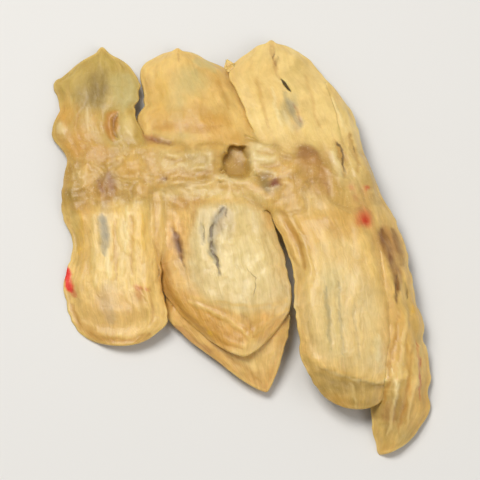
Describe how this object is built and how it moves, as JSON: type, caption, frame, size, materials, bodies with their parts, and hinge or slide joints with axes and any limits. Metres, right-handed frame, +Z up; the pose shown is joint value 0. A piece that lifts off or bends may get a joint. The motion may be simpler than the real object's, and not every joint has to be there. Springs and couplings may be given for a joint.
{
  "type": "dried razor clam",
  "caption": "Opened razor clams dried side by side into one thin, stiff, arched slab, with ragged lobes above and below a fused gut band.",
  "frame": {"origin": "on the floor, under the middle of the slab's box", "axes": "+Z up out of the shown side, +Y along the slab towards the mantle ends, +X across it towards the steep edge"},
  "size_m": [0.1282, 0.147, 0.0199],
  "materials": {
    "dried_clam": "satin, waxy and slightly translucent, with fine lengthwise fibres, brown gut stains and pale cracked flesh"
  },
  "bodies": {
    "root": {"dried_razor_clam": "dried_clam"}
  },
  "joints": []
}
